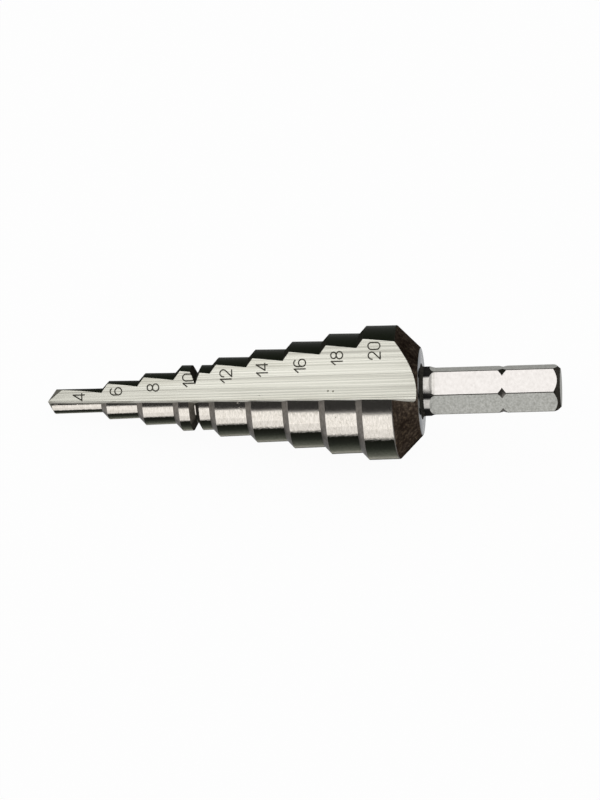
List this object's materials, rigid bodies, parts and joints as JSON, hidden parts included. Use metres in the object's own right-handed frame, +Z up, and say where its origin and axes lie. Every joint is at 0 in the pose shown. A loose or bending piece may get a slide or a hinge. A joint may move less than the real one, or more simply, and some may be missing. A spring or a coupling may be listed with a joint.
{
  "type": "step drill",
  "caption": "Stepped conical drill bit with straight flutes, size numbers on a flute face, a marking groove and a hexagonal quick-change shank.",
  "frame": {"origin": "bottom centre of the bounding box of the drill as it lies at rest on one flute and one lip corner", "axes": "+X from the point towards the shank, along the floor; +Z up; the drill's own axis climbs 8.4 degrees from +X towards +Z"},
  "size_m": [0.0756, 0.0198, 0.0179],
  "materials": {
    "tool_steel": "ground bright, with dark heat scale on the cone behind the last step"
  },
  "bodies": {
    "root": {"step_drill": "tool_steel"}
  },
  "joints": []
}
